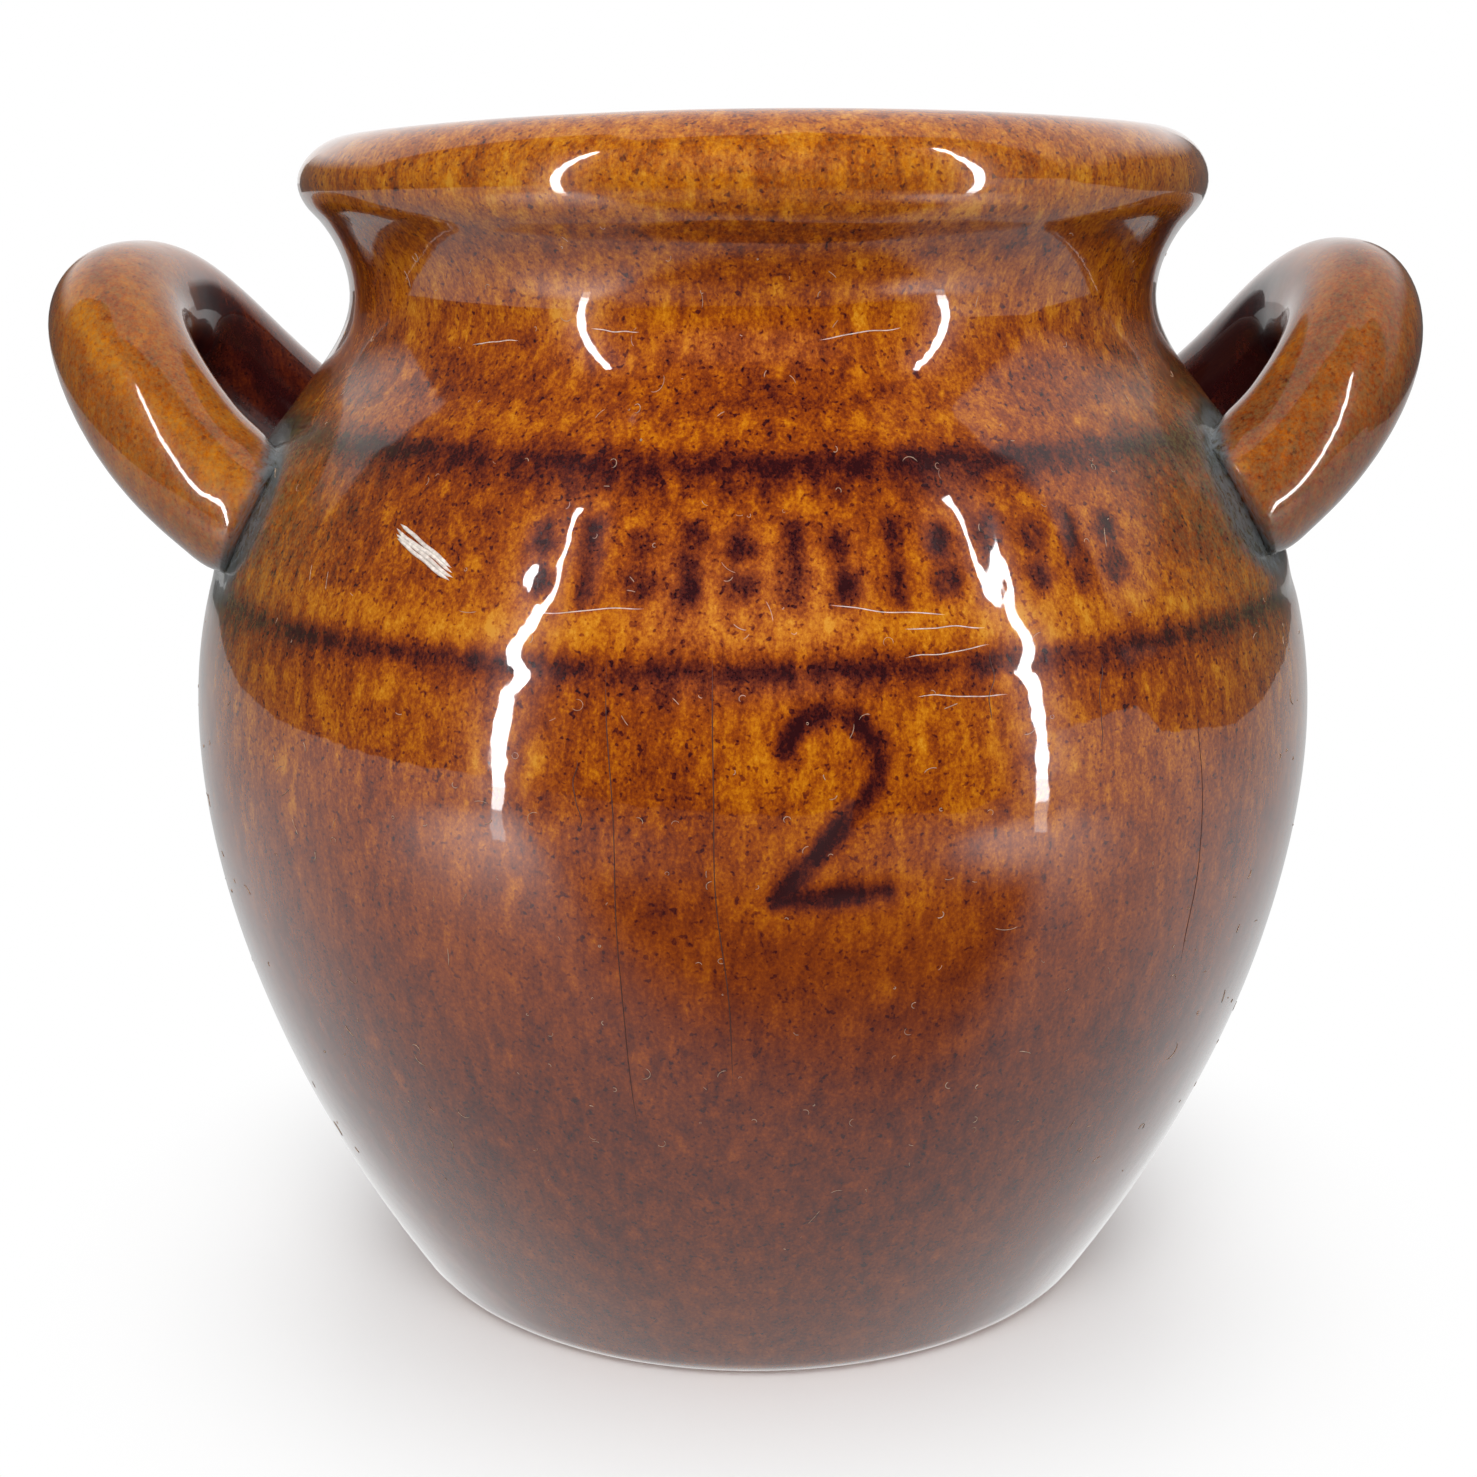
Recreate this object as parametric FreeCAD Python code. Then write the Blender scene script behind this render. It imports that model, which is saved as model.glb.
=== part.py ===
import FreeCAD, Part
import math
import os

from FreeCAD import Vector

# Two-handled stoneware jar, all sizes in mm, angles in degrees.
# The origin is the middle of the standing face, +Z is up, the handles lie along X and the front is -Y.

# Overall form
overall_height = 90.0
belly_radius = 43.0
foot_radius = 26.8
neck_radius = 30.4
lip_radius = 33.9

# Levels along the height, as shares of the overall height
belly_share = 0.497
lower_groove_share = 0.624
upper_groove_share = 0.757
shoulder_end_share = 0.785
neck_share = 0.856

# Wall
wall = 5.0
floor_thickness = 6.0
foot_rounding = 4.0
inside_rounding = 7.0
lip_section_radius = 4.3
lip_root_angle = -42.0
lower_swell = 1.85
shoulder_swell = 2.2
shoulder_fall_share = 0.755

# Where the outline's curve is held, as shares of the rise to the belly and from there to the shoulder end
lower_stations = (0.0, 0.2, 0.45, 0.75)
upper_stations = (0.0, 0.35, 0.7, 1.0)

# Grooves turned round the shoulder
groove_radius = 1.0
groove_depth = 0.4

# Loop handles, one on each side
handle_root_inset = 16.3
handle_crown_share = 0.839
handle_lift_power = 2.15
handle_half_spread = 15.6
handle_squareness = 2.7
handle_thickness = 10.3
handle_root_thickness = 9.8
handle_sections = 17
left_handle_out = 21.75
left_handle_root_share = 0.66
left_handle_turn = 5.3
right_handle_out = 18.75
right_handle_root_share = 0.677
right_handle_turn = 2.8

belly_height = belly_share * overall_height
neck_height = neck_share * overall_height
handle_root_reach = belly_radius - handle_root_inset
shoulder_end_height = shoulder_end_share * overall_height
lip_centre = Vector(lip_radius - lip_section_radius, 0, overall_height - lip_section_radius)


def wall_radius(height):
    """Outside radius of the body below the neck.

    Below the belly the radius falls short of the belly radius by a power of the distance down from it,
    reaching the foot radius at the standing face. Above the belly it falls by another power of the
    distance up, having lost a share of the step to the neck at the end of the shoulder.
    """
    if height < belly_height:
        reach = (belly_height - height) / belly_height
        return belly_radius - (belly_radius - foot_radius) * reach ** lower_swell
    reach = (height - belly_height) / (shoulder_end_height - belly_height)
    fall = shoulder_fall_share * (belly_radius - neck_radius)
    return belly_radius - fall * reach ** shoulder_swell


def wall_curve():
    """Outside outline from just above the foot, over belly and shoulder, through the neck to the lip."""
    lean = math.atan2(wall_radius(foot_rounding) - foot_radius, foot_rounding)
    foot_height = foot_rounding * (1 - math.sin(lean))
    root = math.radians(lip_root_angle)
    toward_root = Vector(math.cos(root), 0, math.sin(root))
    lip_root = lip_centre + toward_root * lip_section_radius
    stations = []
    for share in lower_stations:
        height = foot_height + share * (belly_height - foot_height)
        stations.append(Vector(wall_radius(height), 0, height))
    for share in upper_stations:
        height = belly_height + share * (shoulder_end_height - belly_height)
        stations.append(Vector(wall_radius(height), 0, height))
    stations.append(Vector(neck_radius, 0, neck_height))
    stations.append(lip_root)
    first_slope = Vector(math.sin(lean), 0, math.cos(lean))
    last_slope = Vector(-toward_root.z, 0, toward_root.x)
    curve = Part.BSplineCurve()
    curve.interpolate(Points=stations, InitialTangent=first_slope, FinalTangent=last_slope)
    return curve, stations, lean


def wall_normal(curve, point):
    """Unit normal of the outline at a point, pointing out of the clay."""
    along = curve.tangent(curve.parameter(point))[0]
    if along.z < 0:
        along = along * -1
    return Vector(along.z, 0, -along.x).normalize()


def inset_curve(curve, stations, depth):
    """Outline a given depth inside the outer one, from the lowest station up to the neck."""
    inset = [point - wall_normal(curve, point) * depth for point in stations[1:-1]]
    inner = Part.BSplineCurve()
    inner.interpolate(inset)
    return inner, inset


def turned(edges):
    """Solid of revolution about Z of a closed outline in the XZ plane."""
    face = Part.Face(Part.Wire(Part.__sortEdges__(edges)))
    return face.revolve(Vector(0, 0, 0), Vector(0, 0, 1), 360)


def make_body():
    """The thrown jar without its handles: one wall from the floor to the rolled lip."""
    curve, stations, lean = wall_curve()
    inner, inset = inset_curve(curve, stations, wall)
    floor_centre = Vector(0, 0, floor_thickness)
    base_centre = Vector(0, 0, 0)
    foot_top = stations[0]
    base_edge = Vector(foot_top.x - foot_rounding * math.cos(lean), 0, 0)
    half_turn = (math.pi / 2 - lean) / 2
    foot_middle = base_edge + Vector(math.sin(half_turn), 0, 1 - math.cos(half_turn)) * foot_rounding
    lip_top = lip_centre + Vector(0, 0, lip_section_radius)
    lip_inside = lip_centre - Vector(lip_section_radius, 0, 0)
    half_root = math.radians(lip_root_angle / 2)
    lip_outside = lip_centre + Vector(math.cos(half_root), 0, math.sin(half_root)) * lip_section_radius
    lip_shoulder = lip_centre + Vector(-math.sin(math.pi / 4), 0, math.cos(math.pi / 4)) * lip_section_radius
    bowl_start = inset[0]
    floor_edge = Vector(bowl_start.x - inside_rounding, 0, floor_thickness)
    bowl_corner = Part.BezierCurve()
    bowl_corner.setPoles([floor_edge, Vector(bowl_start.x - wall / 2, 0, floor_thickness), bowl_start])
    edges = [
        Part.LineSegment(base_centre, base_edge).toShape(),
        Part.Arc(base_edge, foot_middle, foot_top).toShape(),
        curve.toShape(),
        Part.Arc(stations[-1], lip_outside, lip_top).toShape(),
        Part.Arc(lip_top, lip_shoulder, lip_inside).toShape(),
        Part.LineSegment(lip_inside, inset[-1]).toShape(),
        inner.toShape(),
        bowl_corner.toShape(),
        Part.LineSegment(floor_edge, floor_centre).toShape(),
        Part.LineSegment(floor_centre, base_centre).toShape(),
    ]
    return turned(edges), curve, stations


def make_core(curve, stations):
    """Everything inside the middle of the wall: it trims the handle roots off in the clay."""
    middle, inset = inset_curve(curve, stations, wall / 2)
    low = Vector(0, 0, inset[0].z)
    high = Vector(0, 0, inset[-1].z)
    edges = [
        middle.toShape(),
        Part.LineSegment(inset[-1], high).toShape(),
        Part.LineSegment(high, low).toShape(),
        Part.LineSegment(low, inset[0]).toShape(),
    ]
    return turned(edges)


def make_groove(curve, height):
    """Ring of round section that cuts a shallow groove at one level of the shoulder."""
    on_wall = Vector(wall_radius(height), 0, height)
    centre = on_wall + wall_normal(curve, on_wall) * (groove_radius - groove_depth)
    return Part.makeTorus(centre.x, groove_radius, Vector(0, 0, centre.z), Vector(0, 0, 1))


def handle_point(turn, out, root_share):
    """Middle line of a handle, turn 0 at its front root, 90 at its crown and 180 at its back root.

    Seen from above it is a squarish half ellipse. It leaves its roots almost level and lifts toward
    the crown by a power of its distance out.
    """
    power = 2 / handle_squareness
    away = math.sin(turn) ** power
    across = math.copysign(abs(math.cos(turn)) ** power, math.cos(turn))
    root_height = root_share * overall_height
    lift = (handle_crown_share * overall_height - root_height) * away ** handle_lift_power
    return Vector(handle_root_reach + out * away, -handle_half_spread * across, root_height + lift), away


def make_handle(out, root_share):
    """Rolled loop handle on the +X side, thickest at its crown, as a loft of round sections."""
    rings = []
    step = math.pi / (handle_sections + 1)
    for number in range(1, handle_sections + 1):
        turn = number * step
        point, away = handle_point(turn, out, root_share)
        ahead, _ = handle_point(turn + step / 10, out, root_share)
        behind, _ = handle_point(turn - step / 10, out, root_share)
        thickness = handle_root_thickness + (handle_thickness - handle_root_thickness) * away
        circle = Part.Circle(point, ahead - behind, thickness / 2)
        rings.append(Part.Wire(circle.toShape()))
    return Part.makeLoft(rings, True, False)


body, outline, outline_stations = make_body()
for share in (lower_groove_share, upper_groove_share):
    body = body.cut(make_groove(outline, share * overall_height))

core = make_core(outline, outline_stations)
right_handle = make_handle(right_handle_out, right_handle_root_share).cut(core)
left_handle = make_handle(left_handle_out, left_handle_root_share).cut(core)
left_handle.rotate(Vector(0, 0, 0), Vector(0, 0, 1), 180 - left_handle_turn)
right_handle.rotate(Vector(0, 0, 0), Vector(0, 0, 1), right_handle_turn)
jar = body.fuse([left_handle, right_handle]).removeSplitter()

os.makedirs("parts", exist_ok=True)
jar.exportStep("parts/jar.step")
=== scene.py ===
import math

import bpy
import numpy as np
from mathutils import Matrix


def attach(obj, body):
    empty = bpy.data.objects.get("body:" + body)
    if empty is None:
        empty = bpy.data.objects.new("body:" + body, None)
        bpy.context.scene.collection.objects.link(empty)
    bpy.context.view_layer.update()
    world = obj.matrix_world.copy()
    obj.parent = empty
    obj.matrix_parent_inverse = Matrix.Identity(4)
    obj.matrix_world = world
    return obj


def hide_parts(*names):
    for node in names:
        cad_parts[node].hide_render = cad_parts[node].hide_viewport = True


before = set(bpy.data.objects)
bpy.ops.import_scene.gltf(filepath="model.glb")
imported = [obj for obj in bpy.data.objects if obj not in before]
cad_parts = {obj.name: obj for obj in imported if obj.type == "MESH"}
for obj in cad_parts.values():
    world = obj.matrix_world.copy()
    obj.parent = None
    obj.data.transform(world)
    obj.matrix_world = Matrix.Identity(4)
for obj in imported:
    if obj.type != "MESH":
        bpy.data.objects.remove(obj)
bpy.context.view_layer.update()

# ------------------------------------------------------------------ sizes, in mm and degrees
MM = 0.001

OVERALL_HEIGHT = 90.0
BELLY_RADIUS = 43.0
FOOT_RADIUS = 26.8
NECK_RADIUS = 30.4
LIP_RADIUS = 33.9
BELLY_HEIGHT = 0.497 * OVERALL_HEIGHT
LOWER_GROOVE = 0.624 * OVERALL_HEIGHT
UPPER_GROOVE = 0.757 * OVERALL_HEIGHT
SHOULDER_END = 0.785 * OVERALL_HEIGHT
NECK_HEIGHT = 0.856 * OVERALL_HEIGHT
LIP_SECTION = 4.3
LIP_ROOT_ANGLE = -42.0
FOOT_ROUNDING = 4.0
WALL = 5.0
FLOOR_THICKNESS = 6.0
INSIDE_ROUNDING = 7.0
LOWER_SWELL = 1.85
SHOULDER_SWELL = 2.2
SHOULDER_FALL = 0.755 * (BELLY_RADIUS - NECK_RADIUS)

HANDLE_ROOT_REACH = BELLY_RADIUS - 16.3
HANDLE_CROWN_HEIGHT = 0.839 * OVERALL_HEIGHT
HANDLE_LIFT_POWER = 2.15
HANDLE_HALF_SPREAD = 15.6
HANDLE_SQUARENESS = 2.7
HANDLE_CROWN_RADIUS = 5.15
HANDLE_ROOT_RADIUS = 4.9
LEFT_HANDLE = {"out": 21.75, "root_height": 0.66 * OVERALL_HEIGHT, "turn": 180.0 - 5.3}
RIGHT_HANDLE = {"out": 18.75, "root_height": 0.677 * OVERALL_HEIGHT, "turn": 2.8}
HANDLE_BURIED = 3.0

# The rim sags over the handles and leans a little to one side, from this height up.
RIM_SAG = 1.2
RIM_TILT = 0.35
RIM_SAG_FROM = 82.0

# Numbers of points along the runs of the half section, round the jar, and along and round a handle.
BASE_POINTS, FOOT_POINTS, LOWER_WALL_POINTS, UPPER_WALL_POINTS = 9, 8, 30, 84
NECK_POINTS, LIP_POINTS, BORE_POINTS, CORNER_POINTS, FLOOR_POINTS = 12, 34, 5, 9, 8
FINE_WALL_FROM = 38.0
JAR_COLUMNS = 372
HANDLE_RINGS, HANDLE_COLUMNS = 161, 56

# Relief of the wall in mm. Each groove is (level, relief, pooled glaze, seed); the turned groove
# itself is shallow, and the low ridge over it is thin of glaze.
THROWING_WAVES, THROWING_RELIEF = (90, 60, 38, 27, 19), 0.07
GROOVES = ((LOWER_GROOVE, -0.11, 0.38, 1), (UPPER_GROOVE, 0.03, 0.30, 2))

# Pressed marks, placed by azimuth and height. The numeral's slope and foot bar follow its arc.
NUMERAL_TURN, NUMERAL_HEIGHT = 6.5, 47.6
NUMERAL_ARC_MIDDLE, NUMERAL_ARC_RADIUS, NUMERAL_ARC_TURNS = np.array([0.0, 2.9]), 3.1, (165, -38)
NUMERAL_FOOT = [(-3.2, -5.7), (3.6, -5.5)]
ROULETTE_TURNS, ROULETTE_HEIGHT = np.linspace(-20, 37, 13), 62.4
ROULETTE_BAR = [(0, -1.9), (0, 1.9)]
ROULETTE_DOTS, ROULETTE_DOT_RADIUS = (1.1, -1.3), 0.25

# How deep the glaze lies, from 0 for thin to 1 for pooled. Bells are (height, width, change), and ramps
# are (from this height, to this height, change). On the wall they set the tone by height: darker round
# 25 mm, toward the foot, at the shoulder and on the lip, and lighter at the neck. The right handle is set
# darker than the left.
GLAZE_ON_WALL = 0.42
GLAZE_ELSEWHERE = 0.40
GLAZE_BELLS = ((25, 11, 0.13), (69, 6, 0.17), (78, 4, -0.06))
GLAZE_RAMPS = ((38, 8, 0.10), (50, 42, 0.07), (83, 85, 0.07))
LEFT_HANDLE_GLAZE, RIGHT_HANDLE_GLAZE = 0.37, 0.50

# Noise in the glaze: lump width and height in mm, detail, roughness, and where in the noise it starts.
GLAZE_NOISE = {"streaks": (1.0, 2.9, 3.0, 0.62, 3.1), "runs": (6.0, 22.0, 2.0, 0.5, 7.7),
               "pools": (13.0, 15.0, 2.0, 0.5, 1.3), "freckles": (1.9, 2.8, 1.0, 0.4, 5.9),
               "specks": (0.42, 0.42, 1.0, 0.5, 9.2), "grains": (0.24, 0.30, 2.0, 0.7, 2.4),
               "film": (0.33, 0.40, 3.0, 0.75, 6.6), "dust": (0.6, 0.8, 3.0, 0.7, 4.4),
               "peel": (2.6, 3.0, 2.0, 0.5, 8.8)}
GLAZE_COLOURS = [(0.0, "#260b10"), (0.20, "#4c1813"), (0.40, "#77300e"), (0.58, "#95440c"),
                 (0.74, "#b3620a"), (0.90, "#c5780f"), (1.0, "#cd8a22")]

# Fine marks on the glaze, each from one (azimuth, height) to another. The strokes of the scrape lie
# side by side. Real crackle and lint are 0.01 to 0.03 mm across, too fine to show, so both are drawn
# about three times as coarse.
CRACKLE = [((-12.5, 57.0), (-11.0, 24.0)), ((-3.8, 57.4), (-1.9, 28.0)), ((-15.1, 50.5), (-14.8, 46.0)),
           ((21.2, 57.0), (20.8, 52.5)), ((32.6, 55.6), (31.4, 50.0)), ((44.0, 52.0), (45.2, 33.0)),
           ((-96.0, 54.0), (-93.0, 24.0)), ((118.0, 60.0), (121.0, 30.0)), ((171.0, 55.0), (168.0, 26.0))]
SCUFFS = [((-19.9, 59.2), (-9.7, 59.8)), ((6.8, 60.0), (17.4, 59.1)), ((13.4, 58.5), (21.0, 58.3)),
          ((13.2, 56.7), (21.2, 57.2)), ((14.1, 54.4), (22.5, 54.1)), ((-37.5, 74.8), (-30.2, 75.3)),
          ((8.0, 75.6), (18.4, 76.3)), ((-20.2, 76.1), (-13.9, 76.0)), ((151.0, 63.0), (163.0, 62.2))]
SCRAPE = [((-37.2, 63.7), (-29.4, 61.5)), ((-37.5, 63.4), (-29.2, 61.2)), ((-37.3, 63.1), (-29.0, 60.9)),
          ((-37.0, 62.8), (-29.3, 60.7))]
CRACKLE_HALF_WIDTH, SCUFF_HALF_WIDTH, SCRAPE_HALF_WIDTH = 0.035, 0.032, 0.17
LINT_COUNT = 420
LINT_HALF_WIDTHS = (0.014, 0.030)


# ------------------------------------------------------------------ the thrown form
def wall_radius(height):
    """Outside radius of the body below the neck.

    Below the belly: belly radius less a power of the distance down. Above it: belly radius less
    another power of the distance up.
    """
    height = np.asarray(height, float)
    down = np.clip((BELLY_HEIGHT - height) / BELLY_HEIGHT, 0, 1)
    up = np.clip((height - BELLY_HEIGHT) / (SHOULDER_END - BELLY_HEIGHT), 0, None)
    foot_fall = (BELLY_RADIUS - FOOT_RADIUS) * down ** LOWER_SWELL
    return BELLY_RADIUS - foot_fall - SHOULDER_FALL * up ** SHOULDER_SWELL


def easing_run(start, start_way, end, end_way, count):
    """Cubic Hermite curve from start to end that leaves and arrives along the two given ways."""
    t = np.linspace(0, 1, count)[:, None]
    chord = np.linalg.norm(end - start)
    leave = start_way / np.linalg.norm(start_way) * chord
    arrive = end_way / np.linalg.norm(end_way) * chord
    return ((2 * t ** 3 - 3 * t ** 2 + 1) * start + (t ** 3 - 2 * t ** 2 + t) * leave
            + (3 * t ** 2 - 2 * t ** 3) * end + (t ** 3 - t ** 2) * arrive)


def round_run(centre, radius, first, last, count):
    """Circular arc about a centre in the half section, from the first to the last angle in degrees."""
    turn = np.radians(np.linspace(first, last, count))
    return centre + radius * np.stack([np.cos(turn), np.sin(turn)], 1)


def outward(run):
    """Unit normals of a run of section points, to the right of its direction."""
    way = np.gradient(run, axis=0)
    way /= np.linalg.norm(way, axis=1)[:, None]
    return np.stack([way[:, 1], -way[:, 0]], 1)


def jar_section():
    """Half section of the jar as one run of (radius, height) points.

    It starts at the middle of the base, follows the foot arc, the power curves of the wall, two easing
    runs through the neck and the round lip, and comes back down the bore. The bowl inside is the
    wall moved in by its thickness, ending in an easing run to the flat floor. The second result is 1
    on the outside wall and 0 elsewhere.
    """
    lean = math.atan2(float(wall_radius(FOOT_ROUNDING)) - FOOT_RADIUS, FOOT_ROUNDING)
    foot_height = FOOT_ROUNDING * (1 - math.sin(lean))
    foot_top = np.array([float(wall_radius(foot_height)), foot_height])
    foot_centre = np.array([foot_top[0] - FOOT_ROUNDING * math.cos(lean), FOOT_ROUNDING])
    base_radii = np.linspace(0, foot_centre[0], BASE_POINTS)[:-1]
    base = np.stack([base_radii, 0 * base_radii], 1)
    foot = round_run(foot_centre, FOOT_ROUNDING, -90, -math.degrees(lean), FOOT_POINTS)[:-1]

    levels = np.concatenate([np.linspace(foot_height, FINE_WALL_FROM, LOWER_WALL_POINTS)[:-1],
                             np.linspace(FINE_WALL_FROM, SHOULDER_END, UPPER_WALL_POINTS)])
    wall = np.stack([wall_radius(levels), levels], 1)
    waist = np.array([NECK_RADIUS, NECK_HEIGHT])
    upright = np.array([0.0, 1.0])
    lip_centre = np.array([LIP_RADIUS - LIP_SECTION, OVERALL_HEIGHT - LIP_SECTION])
    lip = round_run(lip_centre, LIP_SECTION, LIP_ROOT_ANGLE, 180, LIP_POINTS)
    root_turn = math.radians(LIP_ROOT_ANGLE)
    leave_lip = np.array([-math.sin(root_turn), math.cos(root_turn)])
    neck_low = easing_run(wall[-1], wall[-1] - wall[-2], waist, upright, NECK_POINTS)
    neck_high = easing_run(waist, upright, lip[0], leave_lip, NECK_POINTS)
    outside = np.concatenate([wall, neck_low[1:], neck_high[1:]])

    whole_wall = np.concatenate([wall, neck_low[1:]])
    inside = (whole_wall - outward(whole_wall) * WALL)[::-1]
    inside = inside[inside[:, 1] > FLOOR_THICKNESS + INSIDE_ROUNDING]
    inside = np.concatenate([inside[:-1:3], inside[-1:]])
    bore = np.linspace(lip[-1], inside[0], BORE_POINTS)[1:-1]
    corner_end = np.array([inside[-1][0] - INSIDE_ROUNDING, FLOOR_THICKNESS])
    inward = np.array([-1.0, 0.0])
    corner = easing_run(inside[-1], inside[-1] - inside[-2], corner_end, inward, CORNER_POINTS)[1:]
    floor_radii = np.linspace(corner_end[0], 0, FLOOR_POINTS)[1:]
    floor = np.stack([floor_radii, np.full(len(floor_radii), FLOOR_THICKNESS)], 1)

    section = np.concatenate([base, foot, outside, lip[1:], bore, inside, corner, floor])
    is_wall = np.zeros(len(section))
    first = len(base) + len(foot)
    is_wall[first:first + len(outside)] = 1
    return section, is_wall


def column_turns(count):
    """Azimuths of the jar's columns in degrees from the front, closer at the front and at the handles.

    The density is a sum of flat-topped bells over a low floor, and the columns are even steps of its
    running total.
    """
    turn = np.linspace(-180, 180, 7201)
    dense = 0.28 + np.exp(-((turn - 9) / 36.0) ** 4)
    for side in (-90, 90):
        dense += 0.55 * np.exp(-((turn - side) / 27.0) ** 4)
    total = np.concatenate([[0], np.cumsum((dense[1:] + dense[:-1]) / 2)])
    return np.interp(np.arange(count) / count * total[-1], total, turn)


# ------------------------------------------------------------------ the handles
def handle_line(out, root_height, turn):
    """Middle line of a loop handle and its radius.

    Seen from above the line is a squarish half ellipse. It leaves its roots almost level and lifts
    toward the crown by a power of its distance out. It is then turned about the jar's axis.
    """
    power = 2 / HANDLE_SQUARENESS
    sweep = np.linspace(0, np.pi, HANDLE_RINGS)
    away = np.abs(np.sin(sweep)) ** power
    across = np.sign(np.cos(sweep)) * np.abs(np.cos(sweep)) ** power
    reach = HANDLE_ROOT_REACH + out * away
    side = -HANDLE_HALF_SPREAD * across
    height = root_height + (HANDLE_CROWN_HEIGHT - root_height) * away ** HANDLE_LIFT_POWER
    angle = math.radians(turn)
    line = np.stack([reach * math.cos(angle) - side * math.sin(angle),
                     reach * math.sin(angle) + side * math.cos(angle), height], 1)
    radius = HANDLE_ROOT_RADIUS + (HANDLE_CROWN_RADIUS - HANDLE_ROOT_RADIUS) * away
    return line, radius


def gap_to_handle(points, line, radius):
    """Distance from each point to the skin of a handle, negative inside it."""
    gap = np.full(len(points), np.inf)
    for centre, reach in zip(line[::2], radius[::2]):
        gap = np.minimum(gap, np.linalg.norm(points - centre, axis=1) - reach)
    return gap


# ------------------------------------------------------------------ marks pressed into the clay
def stroke_gap(across, up, corners):
    """Distance from points on the unrolled wall to a bent line through the corners."""
    gap = np.full(across.shape, np.inf)
    for (x0, y0), (x1, y1) in zip(corners[:-1], corners[1:]):
        run = max((x1 - x0) ** 2 + (y1 - y0) ** 2, 1e-9)
        along = np.clip(((across - x0) * (x1 - x0) + (up - y0) * (y1 - y0)) / run, 0, 1)
        gap = np.minimum(gap, np.hypot(across - x0 - along * (x1 - x0), up - y0 - along * (y1 - y0)))
    return gap


def size_numeral_gap(turn, height):
    """Distance to a plain pressed numeral 2 below the lower groove: an arc, a slope and a foot bar."""
    across = np.radians(turn - NUMERAL_TURN) * BELLY_RADIUS
    arc = round_run(NUMERAL_ARC_MIDDLE, NUMERAL_ARC_RADIUS, *NUMERAL_ARC_TURNS, 14)
    return stroke_gap(across, height - NUMERAL_HEIGHT, [tuple(point) for point in arc] + NUMERAL_FOOT)


def roulette_gap(turn, height):
    """Distance to a row of pressed bars and dots between the grooves, as a potter's wheel tool leaves."""
    radius = float(wall_radius(ROULETTE_HEIGHT + 0.1))
    up = height - ROULETTE_HEIGHT
    gap = np.full(turn.shape, np.inf)
    for number, place in enumerate(ROULETTE_TURNS):
        across = np.radians(turn - place) * radius
        if number % 2:
            gap = np.minimum(gap, stroke_gap(across, up, ROULETTE_BAR))
        else:
            for dot in ROULETTE_DOTS:
                gap = np.minimum(gap, np.hypot(across, up - dot) - ROULETTE_DOT_RADIUS)
    return gap


def bell(distance, width):
    """Bell curve of a distance: 1 at nothing, falling off over the width."""
    return np.exp(-(distance / width) ** 2)


def slow_waves(turn, height, wavelengths, seed):
    """Sum of sine waves of the given lengths in mm, each with its own direction and phase, from -1 to 1."""
    chance = np.random.default_rng(seed)
    across = np.radians(turn)
    total = np.zeros(np.broadcast(turn, height).shape)
    for length in wavelengths:
        rounds = max(1, round(2 * math.pi * BELLY_RADIUS / length))
        rise = chance.uniform(-1, 1) * 2 * math.pi / length
        total = total + np.sin(across * rounds + height * rise + chance.uniform(0, 2 * math.pi))
    return total / len(wavelengths)


def throwing_relief(turn, height):
    """Relief of the outside wall in mm, and how deep the glaze lies there (0 thin, 1 pooled).

    Two soft grooves with a low ridge over each, the pressed marks with thinner glaze round them, and
    slow waves from hand throwing. Glaze runs off the ridges and pools in the hollows.
    """
    relief = THROWING_RELIEF * slow_waves(turn, height, THROWING_WAVES, 4)
    depth = GLAZE_ON_WALL + 0 * relief
    for level, width, change in GLAZE_BELLS:
        depth = depth + change * bell(height - level, width)
    for start, end, change in GLAZE_RAMPS:
        depth = depth + change * np.clip((height - start) / (end - start), 0, 1)

    for level, press, pooled, seed in GROOVES:
        above = height - level - 0.22 * slow_waves(turn, 0 * height, (135, 90, 50), seed)
        firm = 1 + 0.18 * slow_waves(turn, 0 * height, (60, 33, 21), seed + 10)
        relief = relief + press * firm * bell(above, 1.0) + 0.03 * bell(above - 2.1, 1.5)
        depth = depth + pooled * firm * bell(above, 0.70) + 0.12 * bell(above + 1.0, 0.9)
        depth = depth - 0.17 * bell(above - 2.0, 1.1)

    worn = 1 + 0.40 * slow_waves(turn, height, (11, 7.3, 5.1, 3.7), 31)
    marks = ((size_numeral_gap(turn, height), 0.05, 0.46, 0.2, 0.52, 0.10, 1.9, 0.9),
             (roulette_gap(turn, height), 0.035, 0.34, 0.1, 0.66, 0.12, 1.6, 0.8))
    for gap, press, pooled, half_line, blur, thin, rim, rim_width in marks:
        relief = relief - press * worn * bell(np.maximum(gap - 0.1, 0), 0.8)
        depth = depth + pooled * worn * bell(np.maximum(gap - half_line, 0), blur)
        depth = depth - thin * bell(gap - rim, rim_width)
    return relief, depth


# ------------------------------------------------------------------ meshes
def placed(name, mesh, attributes):
    """Object that shows a mesh where it lies. Attributes are one value for each point of the mesh."""
    mesh.validate()
    for key, values in attributes.items():
        mesh.attributes.new(key, "FLOAT", "POINT").data.foreach_set("value", values.astype(np.float32))
    piece = bpy.data.objects.new(name, mesh)
    bpy.context.scene.collection.objects.link(piece)
    return piece


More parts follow.
